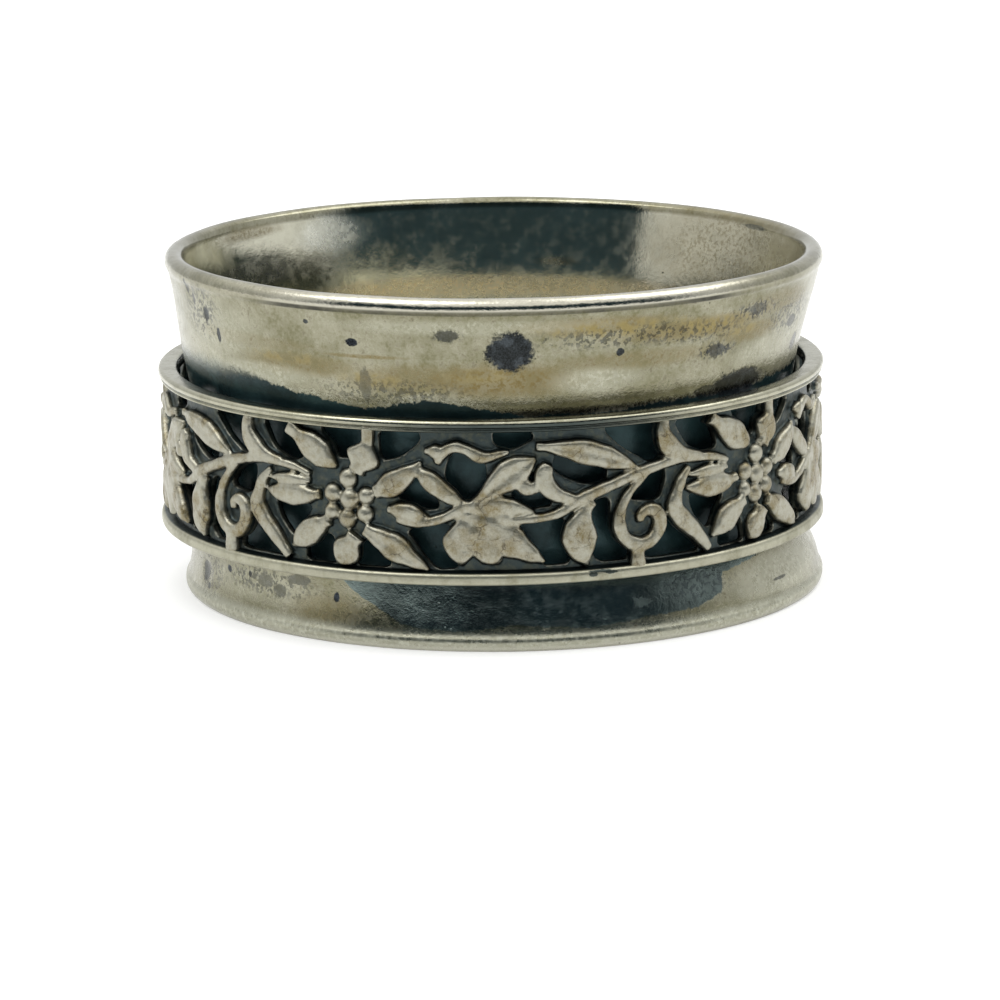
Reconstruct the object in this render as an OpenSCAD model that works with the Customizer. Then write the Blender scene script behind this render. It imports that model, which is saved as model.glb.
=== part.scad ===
/* [Core band] */
// Inner diameter at the waist, where the finger goes
finger_d = 18.1; // [16:0.1:22]
// Thickness of the core's silver sheet
core_wall = 0.55; // [0.45:0.05:0.7]
// Height of the ring from edge to edge
band_h = 10.9; // [10:0.1:13]
// Slope of the upper flare, in degrees from upright
top_flare_a = 11.4; // [10:0.1:15]
// Slope of the lower flare, in degrees from upright
low_flare_a = 13.2; // [10:0.1:15]
// How far each flare reaches in behind the spinner
flare_reach = 0.87; // [0.6:0.01:1.1]
// Thickness of the rounded lip along both edges
lip_d = 0.64; // [0.6:0.02:0.8]
// Depth by which the lower lip is worn flat
rest_flat = 0.06; // [0.02:0.01:0.12]

/* [Spinner] */
// Height of the spinner from edge to edge
spinner_h = 5.05; // [4.5:0.05:5.6]
// Height of the spinner's lower edge over the ring's lower edge
spinner_lift = 2.15; // [2.1:0.05:2.8]
// Running gap between the waist and the spinner
spinner_gap = 0.45; // [0.4:0.01:0.55]
// Thickness of the spinner at its plain rims
rim_wall = 0.62; // [0.5:0.02:0.8]
// Height of the upper rim
top_rim_h = 0.3; // [0.2:0.02:0.4]
// Height of the lower rim
low_rim_h = 0.35; // [0.25:0.01:0.45]

/* [Pierced flower band] */
// Number of times the flower pattern repeats round the spinner
repeats = 5; // [4:1:6]
// Turn of the first flower from the front, in degrees
flower_turn = -24.5; // [-40:0.5:40]
// Share by which the front repeat is wider than an even one
front_stretch = 0.05; // [0:0.01:0.08]
// Thickness of the pierced sheet between the leaves
web_wall = 0.3; // [0.2:0.02:0.4]
// How far the leaves stay below the face of the rims
leaf_drop = 0.07; // [0.03:0.01:0.12]

/* [Hidden] */
$fn = 96;
// Facets of the small round forms, where a drawing shows them
lip_facets = 32;
bead_facets = 24;

// Core band
waist_r = finger_d / 2 + core_wall;
waist_low = spinner_lift + flare_reach;
waist_top = spinner_lift + spinner_h - flare_reach;
lip_r = lip_d / 2;
low_lip_z = lip_r - rest_flat;
top_lip_z = band_h - lip_r;
low_lip_r = waist_r + (waist_low - low_lip_z) * tan(low_flare_a) - core_wall / 2;
top_lip_r = waist_r + (top_lip_z - waist_top) * tan(top_flare_a) - core_wall / 2;

// Spinner
ring_in = waist_r + spinner_gap;
ring_out = ring_in + rim_wall;
web_out = ring_in + web_wall;
leaf_out = ring_out - leaf_drop;
low_rim_top = spinner_lift + low_rim_h;
top_rim_low = spinner_lift + spinner_h - top_rim_h;
// Reach of a leaf or a rim into the sheet behind it
root = web_wall * 0.4;
// Reach of a flat panel past its seam with the next one
seam_lap = 0.03;

// One repeat is drawn on a grid that spans a repeat and the height between the rims
grid_w = 140;
grid_h = 44;
// Flat panels that a repeat is bent into
panels = 6;
pitch_a = 360 / repeats;
strip_h = top_rim_low - low_rim_top;

// Angular width of repeat k, which is widest at the front
function width_a(k) = pitch_a * (1 + front_stretch * cos(pitch_a * k));
// Turn at which repeat k starts
function start_a(k) = k == 0 ? flower_turn : start_a(k - 1) + width_a(k - 1);

// Corners of the gaps on the grid, each rounded before it is cut
GAPS = [
    // Over the flower, left and right of the bud
    [[-10.5, 42.2], [-8.5, 43.6], [4.2, 43.2], [5.8, 41], [1.5, 37.4], [-0.4, 34.4], [-4, 34.4], [-5.2, 38.2]],
    [[9.8, 43], [22, 43], [22.6, 40.6], [16.5, 35.6], [10.6, 34.2]],
    // Left of the flower and two below it
    [[-29, 20.4], [-24, 18], [-17, 19.6], [-15, 17], [-18.6, 13], [-20.2, 8.4], [-22.4, 8.8], [-27.4, 14]],
    [[-16.6, 1.4], [-16.4, 4.8], [-9.6, 9.2], [-7, 8.8], [-5.2, 2.6], [-6, 1.4]],
    [[-0.6, 1.3], [4, 8.8], [6, 9.4], [12.6, 3], [12, 1.3]],
    // Right of the flower, over and under the stem
    [[15.2, 23], [19, 26], [21, 29.6], [23, 29], [29, 20], [24.6, 19.8]],
    [[18.6, 13], [32.2, 15], [32, 8], [34.6, 1.6], [28, 1.4], [23, 7]],
    // Round the leaf cluster
    [[32, 33.6], [34.6, 37.4], [41, 36.8], [43.2, 31], [42, 25.4], [37.6, 22.4], [33.2, 25], [31.2, 29]],
    [[46, 43], [56, 43.2], [58.2, 41], [52, 38.2], [46.5, 39.4]],
    [[55.3, 31], [57.4, 31.6], [57.6, 27.6], [64.4, 20.4], [57, 19.8], [51.2, 24.2], [55, 26.2]],
    [[51.6, 14.8], [67.8, 16], [66.4, 9.5], [69.8, 2.4], [60.8, 2], [60.8, 5.2]],
    // Under and over the long leaf
    [[64.4, 32], [66, 36.6], [72, 36.2], [81.2, 30.8], [81, 27], [74, 26.6], [66.8, 29.8]],
    [[81, 42.2], [84, 43.4], [100.8, 43.2], [99, 37.5], [99.6, 31.8], [96.8, 31.4], [88, 36.2]],
    [[105.4, 43], [118, 43.2], [119.4, 39.5], [122.4, 32.8], [118, 32.2], [110.6, 35]],
    // Left of the scroll, over it and right of it
    [[77.6, 20.2], [82.2, 21], [81.6, 12], [83.2, 7.6], [89.2, 3.6], [88, 2.2], [78.6, 2.2], [75, 9], [75.2, 16]],
    [[88.6, 20.2], [94.6, 26], [101.6, 28.4], [101.4, 25], [99.2, 19.2]],
    [[101, 12.4], [106, 10.8], [118, 3.8], [116, 1.7], [94.2, 1.6], [94.6, 4.6]],
];

// Leaves and petals on the grid: start x and y, tip x and y, bend, half width, place of the belly, width at the start
LEAVES = [
    // Petals, clockwise from the upper left
    [-22, 42.4, -4, 31, 0, 3.1, 0.6, 0.45],
    [2.6, 30.2, 6.8, 40, -0.4, 3.8, 0.5, 0.5],
    [8.6, 24.2, 23.6, 34.2, -1, 2.6, 0.4, 0.5],
    [12.6, 19.2, 25, 17.4, 0.4, 1.9, 0.5, 0.3],
    [5, 12.8, 25.6, 0.8, 0.3, 2.8, 0.45, 0.45],
    [2.4, 10.6, -4.4, 1.4, 0.2, 3.3, 0.55, 0.6],
    [-7, 14.8, -21.2, 5, -0.4, 2.9, 0.5, 0.45],
    [-10, 22.2, -31.6, 21.8, 0.8, 2.5, 0.5, 0.35],
    [-14, 25.8, -30.5, 25.4, -0.4, 1, 0.5, 0.2],
    // Leaf cluster
    [22.6, 32, 38.2, 20.6, -1, 2, 0.4, 0.2],
    [24.6, 37.4, 30.6, 36.8, 0.3, 1.3, 0.6, 0.2],
    [39, 20.4, 58.8, 35, 1, 3.2, 0.62, 0.3],
    [51, 28, 59, 24.4, 0.2, 1.5, 0.6, 0.4],
    [41.2, 21.2, 58, 18.6, 0.6, 1.9, 0.45, 0.4],
    [44, 19, 53.4, 14.2, 0.3, 1.4, 0.5, 0.4],
    [37, 18.8, 35.8, 2.6, -0.8, 4, 0.62, 0.3],
    [37.6, 18, 47.6, 3.4, -1, 3.4, 0.66, 0.3],
    [38.4, 18.4, 61.2, 3, -0.3, 3.3, 0.5, 0.25],
    // Long leaf, and the leaf that hangs from the stem
    [58.6, 38.6, 91.4, 29.8, 1.6, 2.7, 0.55, 0.2],
    [76, 21.4, 74.6, 1.2, -3.2, 4, 0.58, 0.3],
];

// Stems and curved leaves on the grid, as points of x, y and half width
STEMS = [
    // Main stem, from the flower to the next one
    [[15.6, 16.6, 0.9], [20, 15.4, 1.1], [26, 15.8, 1.2], [32, 17.8, 1.2], [38.4, 21, 1.5]],
    [[38.4, 21, 1.5], [44.5, 18, 1.2], [51, 16.3, 1], [58, 16.5, 1], [64, 17.4, 1.1], [69, 19.6, 1.3]],
    [[69, 19.6, 1.3], [73.5, 22.3, 1.6], [79, 24.3, 1.5], [85, 26.3, 1.4], [91, 28.3, 1.4], [97, 29.6, 1.3]],
    [[97, 29.6, 1.3], [103.5, 30.8, 1.2], [111, 30.8, 1.1], [119.5, 30, 0.9], [126, 28, 0.6]],
    // Arched leaf over the round gap
    [[28.4, 33.8, 0.8], [30.4, 37, 1.4], [33.6, 38.8, 1.3], [37.2, 38.2, 1.3], [41.2, 36, 1.6],
     [44, 35.7, 1.2], [47.4, 36.6, 0.9], [50.6, 37.2, 0.4]],
    // Leaf round the end of the long gap
    [[62.6, 33, 1.4], [61, 29.8, 2.7], [62, 26.4, 2.8], [65.2, 23.6, 2.1], [69.6, 22.2, 1.3], [74, 21.8, 0.7]],
    // Leaf that comes down from the upper rim
    [[100.8, 44.6, 1.2], [100.2, 40.2, 2], [101.8, 36.2, 3.1], [105, 33.6, 2.5], [109.4, 32, 1.5],
     [114.4, 31.2, 0.9]],
    // Bent leaf right of the scroll
    [[110, 28.2, 0.5], [107, 24.8, 1.3], [105, 20.6, 1.8], [104.2, 16.2, 2.6], [107.4, 12, 2.7],
     [112.2, 7.6, 2.1], [117.4, 1.6, 1.2]],
    // Scroll, in two lengths
    [[95, 28.8, 0.9], [90.4, 24.7, 1.1], [86.8, 20.4, 1.2], [84.9, 15.4, 1.6], [85.3, 10.8, 1.9],
     [88.1, 7.4, 1.9], [92.4, 6.2, 1.8]],
    [[92.4, 6.2, 1.8], [96.2, 7.6, 1.9], [98.6, 11.3, 2.1], [98.1, 15.1, 1.9], [95, 16.7, 1.6], [92.2, 15.3, 1.3],
     [92.3, 13.2, 0.8]],
    // Foot of the scroll, and the bud's hold on the upper rim
    [[91, 5.4, 2], [91, -1, 2.4]],
    [[6.6, 37.6, 1.6], [6.8, 45, 1.5]],
];

// Beads in the middle of the flower, as x, y and radius on the grid
BEADS = [
    [0, 21.4, 3], [5.7, 22.8, 2.5], [5.3, 17.2, 2.6], [-0.8, 15.4, 2.8], [-6.1, 17.4, 2.4], [-5.9, 23, 2.7],
    [-0.3, 27.8, 2.9],
];

// Points cut off a closed outline's corners, so that they come out round
corner_cut = 0.27;
function rounded(pts) = [
    for (i = [0 : len(pts) - 1])
        let (p = pts[i], before = pts[(i + len(pts) - 1) % len(pts)], after = pts[(i + 1) % len(pts)])
            each [p + (before - p) * corner_cut, p + (after - p) * corner_cut]
];

// Unit vector a quarter turn to the left of v
function left_of(v) = [-v.y, v.x] / norm(v);

// Outline of a leaf from one of the rows above
leaf_steps = 4;
function leaf_half(t, half, belly, start_w) =
    half * max(sin(180 * pow(t, ln(0.5) / ln(belly))), start_w * (1 - t));
function leaf_mid(row, t) =
    let (a = [row[0], row[1]], b = [row[2], row[3]])
        a + (b - a) * t + left_of(b - a) * row[4] * 4 * t * (1 - t);
function leaf_side(row, t, side) =
    leaf_mid(row, t)
    + left_of([row[2] - row[0], row[3] - row[1]]) * side * leaf_half(t, row[5], row[6], row[7]);
function leaf_outline(row) = concat(
    [for (i = [0 : leaf_steps - 1]) leaf_side(row, i / leaf_steps, -1)],
    [leaf_mid(row, 1)],
    [for (i = [leaf_steps - 1 : -1 : 0]) leaf_side(row, i / leaf_steps, 1)]
);

// Outline of a stem, down its right side and back up its left
function xy(p) = [p.x, p.y];
function stem_side(pts, i, side) =
    let (
        before = xy(pts[max(i - 1, 0)]),
        after = xy(pts[min(i + 1, len(pts) - 1)])
    )
        xy(pts[i]) + left_of(after - before) * side * pts[i][2];
function stem_outline(pts) = concat(
    [for (i = [0 : len(pts) - 1]) stem_side(pts, i, -1)],
    [for (i = [len(pts) - 1 : -1 : 0]) stem_side(pts, i, 1)]
);

gap_outlines = [for (gap = GAPS) rounded(gap)];
leaf_outlines = concat(
    [for (row = LEAVES) leaf_outline(row)],
    [for (pts = STEMS) stem_outline(pts)]
);

// Outlines that reach into panel j of the grid by more than a lap, from this repeat or the next ones
function touching(outlines, j) =
    let (
        lap = seam_lap / strip_h * grid_h,
        low = j * grid_w / panels + lap,
        high = (j + 1) * grid_w / panels - lap
    )
        [
            for (shift = [-grid_w, 0, grid_w], pts = outlines)
                let (xs = [for (p = pts) p.x + shift])
                    if (min(xs) < high && max(xs) > low)
                        [for (p = pts) [p.x + shift, p.y]]
        ];

// Outlines on panel j, in millimetres from the panel's middle
module drawn_on_panel(outlines, j, w) {
    for (pts = touching(outlines, j))
        polygon([for (p = pts) [(p.x * panels / grid_w - j - 0.5) * w, p.y / grid_h * strip_h]]);
}

// Stands a flat plate on panel j of repeat k, with its outer face's edges at a radius
module stand_panel(k, j, out_r, in_r) {
    a = width_a(k) / panels;
    face_r = out_r * cos(a / 2);
    rotate([0, 0, start_a(k) + (j + 0.5) * a])
        translate([0, -in_r, low_rim_top])
            rotate([90, 0, 0])
                linear_extrude(face_r - in_r)
                    children();
}

// Plain panel that reaches into both rims and past both seams
module blank_panel(w) {
    translate([-w / 2 - seam_lap, -root])
        square([w + 2 * seam_lap, strip_h + 2 * root]);
}

// Width of a panel of repeat k at a radius
function panel_w(k, out_r) = 2 * out_r * sin(width_a(k) / panels / 2);

// Sheet of panel j with its gaps cut through
module sheet_panel(k, j) {
    w = panel_w(k, web_out);
    stand_panel(k, j, web_out, ring_in)
        difference() {
            blank_panel(w);
            drawn_on_panel(gap_outlines, j, w);
        }
}

// Relief of panel j: leaves, petals and stems
module relief_panel(k, j) {
    w = panel_w(k, leaf_out);
    stand_panel(k, j, leaf_out, web_out - root)
        intersection() {
            blank_panel(w);
            union()
                drawn_on_panel(leaf_outlines, j, w);
        }
}

// Beads in the middle of the flower of repeat k
module flower_beads(k) {
    for (b = BEADS) {
        bead_r = b[2] / grid_h * strip_h;
        rotate([0, 0, start_a(k) + b.x / grid_w * width_a(k)])
            translate([0, -(leaf_out - bead_r), low_rim_top + b.y / grid_h * strip_h])
                sphere(r = bead_r, $fn = bead_facets);
    }
}

// Half-round rim between two heights
module rim(low, high) {
    round_r = (high - low) / 2;
    rotate_extrude()
        union() {
            translate([ring_in, low])
                square([rim_wall - round_r, high - low]);
            translate([ring_out - round_r, low + round_r])
                circle(r = round_r, $fn = bead_facets);
        }
}

// Thin flared sleeve that goes on the finger, with a rounded lip at both edges
module core_band() {
    color([0.78, 0.77, 0.71])
        rotate_extrude()
            intersection() {
                union() {
                    polygon([
                        [low_lip_r - core_wall / 2, low_lip_z],
                        [low_lip_r + core_wall / 2, low_lip_z],
                        [waist_r, waist_low],
                        [waist_r, waist_top],
                        [top_lip_r + core_wall / 2, top_lip_z],
                        [top_lip_r - core_wall / 2, top_lip_z],
                        [waist_r - core_wall, waist_top],
                        [waist_r - core_wall, waist_low]
                    ]);
                    translate([low_lip_r, low_lip_z])
                        circle(r = lip_r, $fn = lip_facets);
                    translate([top_lip_r, top_lip_z])
                        circle(r = lip_r, $fn = lip_facets);
                }
                square([2 * top_lip_r, band_h]);
            }
}

// Pierced sheet all round
module pierced_sheet() {
    for (k = [0 : repeats - 1], j = [0 : panels - 1])
        sheet_panel(k, j);
}

// Leaves, petals and stems all round
module leaf_relief() {
    for (k = [0 : repeats - 1], j = [0 : panels - 1])
        relief_panel(k, j);
}

// Loose band with two plain rims and a pierced flower pattern between them
module spinner_band() {
    color([0.7, 0.7, 0.65])
        union() {
            pierced_sheet();
            leaf_relief();
            rim(spinner_lift, low_rim_top);
            rim(top_rim_low, spinner_lift + spinner_h);
            for (k = [0 : repeats - 1])
                flower_beads(k);
        }
}

core_band();
spinner_band();
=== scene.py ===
import math

import bmesh
import bpy
from bpy.props import FloatProperty, FloatVectorProperty, IntProperty, PointerProperty
from mathutils import Matrix, Vector, noise


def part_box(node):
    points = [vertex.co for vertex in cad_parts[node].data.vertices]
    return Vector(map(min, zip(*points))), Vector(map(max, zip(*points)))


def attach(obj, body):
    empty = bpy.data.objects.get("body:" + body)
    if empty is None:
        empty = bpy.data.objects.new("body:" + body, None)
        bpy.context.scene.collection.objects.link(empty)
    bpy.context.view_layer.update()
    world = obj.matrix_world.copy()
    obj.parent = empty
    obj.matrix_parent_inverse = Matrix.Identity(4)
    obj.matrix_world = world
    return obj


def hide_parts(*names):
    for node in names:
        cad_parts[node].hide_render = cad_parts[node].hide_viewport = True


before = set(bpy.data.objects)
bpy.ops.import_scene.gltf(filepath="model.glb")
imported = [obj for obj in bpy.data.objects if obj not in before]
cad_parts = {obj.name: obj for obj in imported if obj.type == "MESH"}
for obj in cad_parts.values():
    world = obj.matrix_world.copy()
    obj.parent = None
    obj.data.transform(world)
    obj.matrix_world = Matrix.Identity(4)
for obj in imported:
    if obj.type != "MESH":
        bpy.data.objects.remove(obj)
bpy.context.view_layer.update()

bl_info = {
    "name": "Spinner ring",
    "version": (1, 0, 0),
    "blender": (4, 5, 0),
    "location": "View3D > Sidebar > Spinner ring",
    "description": "Dresses a flared silver ring with a pierced flower band that turns round it",
    "category": "Object",
}

# Millimetres are modelled as whole units, and each finished piece is brought down to metres
MM = 0.001
CORE_LOW, CORE_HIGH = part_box("core_band")
BAND_LOW, BAND_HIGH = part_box("spinner_band")
RING_H = CORE_HIGH.z / MM
RIM_R = BAND_HIGH.x / MM
RIM_LOW = BAND_LOW.z / MM
RIM_HIGH = BAND_HIGH.z / MM

# The pattern's grid: one repeat is GRID_W wide and GRID_H high between the rims
GRID_W = 140
GRID_H = 44
REPEATS = 5
PATTERN_LOW = RIM_LOW + 0.35
PATTERN_HIGH = RIM_HIGH - 0.3

# Corners of the gaps on the grid
GAPS = (
    # Over the flower, left and right of the bud
    ((-10.5, 42.2), (-8.5, 43.6), (4.2, 43.2), (5.8, 41), (1.5, 37.4), (-0.4, 34.4), (-4, 34.4),
     (-5.2, 38.2)),
    ((9.8, 43), (22, 43), (22.6, 40.6), (16.5, 35.6), (10.6, 34.2)),
    # Left of the flower and two below it
    ((-29, 20.4), (-24, 18), (-17, 19.6), (-15, 17), (-18.6, 13), (-20.2, 8.4), (-22.4, 8.8), (-27.4, 14)),
    ((-16.6, 1.4), (-16.4, 4.8), (-9.6, 9.2), (-7, 8.8), (-5.2, 2.6), (-6, 1.4)),
    ((-0.6, 1.3), (4, 8.8), (6, 9.4), (12.6, 3), (12, 1.3)),
    # Right of the flower, over and under the stem
    ((15.2, 23), (19, 26), (21, 29.6), (23, 29), (29, 20), (24.6, 19.8)),
    ((18.6, 13), (32.2, 15), (32, 8), (34.6, 1.6), (28, 1.4), (23, 7)),
    # Round the leaf cluster
    ((32, 33.6), (34.6, 37.4), (41, 36.8), (43.2, 31), (42, 25.4), (37.6, 22.4), (33.2, 25), (31.2, 29)),
    ((46, 43), (56, 43.2), (58.2, 41), (52, 38.2), (46.5, 39.4)),
    ((55.3, 31), (57.4, 31.6), (57.6, 27.6), (64.4, 20.4), (57, 19.8), (51.2, 24.2), (55, 26.2)),
    ((51.6, 14.8), (67.8, 16), (66.4, 9.5), (69.8, 2.4), (60.8, 2), (60.8, 5.2)),
    # Under and over the long leaf
    ((64.4, 32), (66, 36.6), (72, 36.2), (81.2, 30.8), (81, 27), (74, 26.6), (66.8, 29.8)),
    ((81, 42.2), (84, 43.4), (100.8, 43.2), (99, 37.5), (99.6, 31.8), (96.8, 31.4), (88, 36.2)),
    ((105.4, 43), (118, 43.2), (119.4, 39.5), (122.4, 32.8), (118, 32.2), (110.6, 35)),
    # Left of the scroll, over it and right of it
    ((77.6, 20.2), (82.2, 21), (81.6, 12), (83.2, 7.6), (89.2, 3.6), (88, 2.2), (78.6, 2.2), (75, 9),
     (75.2, 16)),
    ((88.6, 20.2), (94.6, 26), (101.6, 28.4), (101.4, 25), (99.2, 19.2)),
    ((101, 12.4), (106, 10.8), (118, 3.8), (116, 1.7), (94.2, 1.6), (94.6, 4.6)),
)

# Leaves and petals: start x and y, tip x and y, bend, half width, place of the belly, width at the start
# and depth of the crease
LEAVES = (
    # Petals, clockwise from the upper left
    (-22, 42.4, -4, 31, 0, 3.1, 0.6, 0.45, 0.0),
    (2.6, 30.2, 6.8, 40, -0.4, 3.8, 0.5, 0.5, 0.0),
    (8.6, 24.2, 23.6, 34.2, -1, 2.6, 0.4, 0.5, 0.0),
    (12.6, 19.2, 25, 17.4, 0.4, 1.9, 0.5, 0.3, 0.0),
    (5, 12.8, 25.6, 0.8, 0.3, 2.8, 0.45, 0.45, 0.03),
    (2.4, 10.6, -4.4, 1.4, 0.2, 3.3, 0.55, 0.6, 0.0),
    (-7, 14.8, -21.2, 5, -0.4, 2.9, 0.5, 0.45, 0.0),
    (-10, 22.2, -31.6, 21.8, 0.8, 2.5, 0.5, 0.35, 0.0),
    (-14, 25.8, -30.5, 25.4, -0.4, 1, 0.5, 0.2, 0.0),
    # Leaf cluster
    (22.6, 32, 38.2, 20.6, -1, 2, 0.4, 0.2, 0.0),
    (24.6, 37.4, 30.6, 36.8, 0.3, 1.3, 0.6, 0.2, 0.0),
    (39, 20.4, 58.8, 35, 1, 3.2, 0.62, 0.3, 0.05),
    (51, 28, 59, 24.4, 0.2, 1.5, 0.6, 0.4, 0.0),
    (41.2, 21.2, 58, 18.6, 0.6, 1.9, 0.45, 0.4, 0.0),
    (44, 19, 53.4, 14.2, 0.3, 1.4, 0.5, 0.4, 0.0),
    (37, 18.8, 35.8, 2.6, -0.8, 4, 0.62, 0.3, 0.0),
    (37.6, 18, 47.6, 3.4, -1, 3.4, 0.66, 0.3, 0.0),
    (38.4, 18.4, 61.2, 3, -0.3, 3.3, 0.5, 0.25, 0.0),
    # Long leaf, and the leaf that hangs from the stem
    (58.6, 38.6, 91.4, 29.8, 1.6, 2.7, 0.55, 0.2, 0.03),
    (76, 21.4, 74.6, 1.2, -3.2, 4, 0.58, 0.3, 0.0),
)

# Stems and curved leaves as points of x, y and half width
STEMS = (
    # Main stem, from the flower to the next one
    ((15.6, 16.6, 0.9), (20, 15.4, 1.1), (26, 15.8, 1.2), (32, 17.8, 1.2), (38.4, 21, 1.5)),
    ((38.4, 21, 1.5), (44.5, 18, 1.2), (51, 16.3, 1), (58, 16.5, 1), (64, 17.4, 1.1), (69, 19.6, 1.3)),
    ((69, 19.6, 1.3), (73.5, 22.3, 1.6), (79, 24.3, 1.5), (85, 26.3, 1.4), (91, 28.3, 1.4), (97, 29.6, 1.3)),
    ((97, 29.6, 1.3), (103.5, 30.8, 1.2), (111, 30.8, 1.1), (119.5, 30, 0.9), (126, 28, 0.6)),
    # Arched leaf over the round gap
    ((28.4, 33.8, 0.8), (30.4, 37, 1.4), (33.6, 38.8, 1.3), (37.2, 38.2, 1.3), (41.2, 36, 1.6),
     (44, 35.7, 1.2), (47.4, 36.6, 0.9), (50.6, 37.2, 0.4)),
    # Leaf round the end of the long gap
    ((62.6, 33, 1.4), (61, 29.8, 2.7), (62, 26.4, 2.8), (65.2, 23.6, 2.1), (69.6, 22.2, 1.3),
     (74, 21.8, 0.7)),
    # Leaf that comes down from the upper rim
    ((100.8, 44.6, 1.2), (100.2, 40.2, 2), (101.8, 36.2, 3.1), (105, 33.6, 2.5), (109.4, 32, 1.5),
     (114.4, 31.2, 0.9)),
    # Bent leaf right of the scroll
    ((110, 28.2, 0.5), (107, 24.8, 1.3), (105, 20.6, 1.8), (104.2, 16.2, 2.6), (107.4, 12, 2.7),
     (112.2, 7.6, 2.1), (117.4, 1.6, 1.2)),
    # Scroll
    ((95, 28.8, 0.9), (90.4, 24.7, 1.1), (86.8, 20.4, 1.2), (84.9, 15.4, 1.6), (85.3, 10.8, 1.9),
     (88.1, 7.4, 1.9), (92.4, 6.2, 1.8), (96.2, 7.6, 1.9), (98.6, 11.3, 2.1), (98.1, 15.1, 1.9),
     (95, 16.7, 1.6), (92.2, 15.3, 1.3), (92.3, 13.2, 0.8)),
    # Foot of the scroll, and the bud's hold on the upper rim
    ((91, 5.4, 2), (91, -1, 2.4)),
    ((6.6, 37.6, 1.6), (6.8, 45, 1.5)),
)

# Beads in the middle of the flower as x, y and radius
BEADS = (
    (0, 21.4, 3), (5.7, 22.8, 2.5), (5.3, 17.2, 2.6), (-0.8, 15.4, 2.8), (-6.1, 17.4, 2.4), (-5.9, 23, 2.7),
    (-0.3, 27.8, 2.9),
)

# Dark spots on the sleeve: turn from the front, height, half width in degrees, half height, how dark
SPOTS = (
    (3.3, 9.2, 3.9, 0.6, 0.97),
    (-24.2, 9.41, 1.1, 0.12, 1.0),
    (-7.3, 9.71, 1.9, 0.17, 0.75),
    (-32.9, 9.95, 0.5, 0.07, 0.9),
    (-59.9, 9.62, 0.9, 0.24, 0.9),
    (-56.3, 9.04, 0.6, 0.26, 0.9),
    (-66.4, 10.34, 0.6, 0.22, 0.8),
    (-64.3, 10.0, 0.6, 0.2, 0.8),
    (22.5, 9.03, 0.7, 0.12, 0.95),
    (42.9, 8.68, 2.4, 0.2, 0.75),
    (51.9, 9.78, 2.8, 0.16, 0.6),
    (66.8, 8.97, 2.2, 0.2, 0.75),
    (71.9, 8.14, 1.7, 0.3, 0.75),
    # This row and the next are a dark patch just above the spinner's top rim on the right: a stain with a
    # painted shadow of the rim
    (50.8, 7.45, 7.5, 0.4, 0.9),
    (43.5, 7.36, 4.5, 0.2, 0.7),
    (-22.3, 8.09, 1.1, 0.55, 0.45),
    (-68.6, 1.11, 1.5, 0.34, 0.8),
    (-66, 0.72, 0.7, 0.1, 0.8),
    (-57.5, 1.55, 0.8, 0.12, 1.0),
    (-50.5, 1.6, 0.5, 0.09, 0.9),
    (-46, 1.52, 2.2, 0.2, 0.55),
    (-42, 1.3, 1.4, 0.2, 0.6),
    (-37.5, 1.75, 2.8, 0.16, 0.6),
    (-29.1, 1.39, 0.6, 0.16, 1.0),
    (59.9, 1.01, 2.2, 0.05, 0.7),
)

# Clusters of small dark pits, in the same terms
CRUMBS = (
    (42.9, 8.68, 4.5, 0.26, 0.9),
    (51.9, 9.74, 6, 0.26, 0.8),
    (24, 9.5, 16, 0.3, 0.6),
    (38, 9.35, 10, 0.28, 0.6),
    (-7.3, 9.71, 2.4, 0.2, 0.7),
    (-62, 9.7, 6, 0.8, 0.6),
    (66, 9.2, 8, 0.5, 0.6),
    (-46, 1.5, 12, 0.4, 0.6),
    (-66, 1.2, 6, 0.6, 0.5),
    (-18, 7.9, 12, 0.35, 0.5),
    (38, 1.5, 8, 0.45, 0.5),
)

# Patches of another tone, each tone over the ones before it. Tone, side of the sheet, and rows of turn,
# height, half width in degrees, half height and strength
PATCHES = (
    ("brown", "out", (
        (18, 9.92, 13, 0.24, 0.85), (38, 9.5, 15, 0.32, 0.85), (51, 9.08, 9, 0.3, 0.7),
        (26, 8.72, 18, 0.28, 0.5), (-36, 8.53, 13, 0.34, 0.6), (-14, 8.32, 12, 0.42, 0.6),
        (1.2, 8.3, 13, 0.5, 0.95), (-22.5, 8.98, 7, 0.06, 0.8), (60, 9.8, 10, 0.35, 0.5),
        (-48, 9.1, 16, 0.2, 0.35), (-31, 0.96, 8, 0.45, 0.5), (60, 1.5, 14, 0.6, 0.35),
    )),
    ("brown", "in", (
        (235, 10.4, 9, 0.2, 0.7), (122, 9.5, 26, 1.6, 0.62), (166, 8.73, 4, 0.15, 0.6),
    )),
    ("pale", "out", (
        (18.9, 8.19, 8, 0.36, 0.5), (58, 8.3, 10, 0.4, 0.4), (-4, 9.95, 22, 0.22, 0.4),
        (-58, 9.2, 12, 1.0, 0.4), (69, 8.8, 8, 0.5, 0.5), (-46, 8.15, 14, 0.3, 0.5),
        (-50, 1.3, 15, 0.5, 0.3), (37.9, 1.41, 6.5, 0.42, 0.85), (0, 0.3, 120, 0.3, 0.85),
        (62, 1.2, 16, 0.6, 0.7),
    )),
    ("slate", "in", (
        (237, 9.0, 13, 0.5, 0.75), (119, 10.5, 3.5, 0.08, 0.8),
    )),
    ("white", "in", (
        (213, 9.95, 7.5, 0.6, 1.0),
    )),
    ("ochre", "out", (
        (22, 9.78, 13, 0.26, 1.0), (40, 9.55, 11, 0.26, 1.0), (49, 9.2, 6, 0.18, 0.7),
        (-21, 8.25, 6, 0.22, 0.8), (-38, 8.75, 9, 0.2, 0.6), (-2, 8.45, 7, 0.22, 0.6),
        (26, 1.25, 3, 0.16, 0.5),
    )),
    ("tan", "in", (
        (180, 7.92, 45, 0.36, 0.9),
    )),
)

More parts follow.
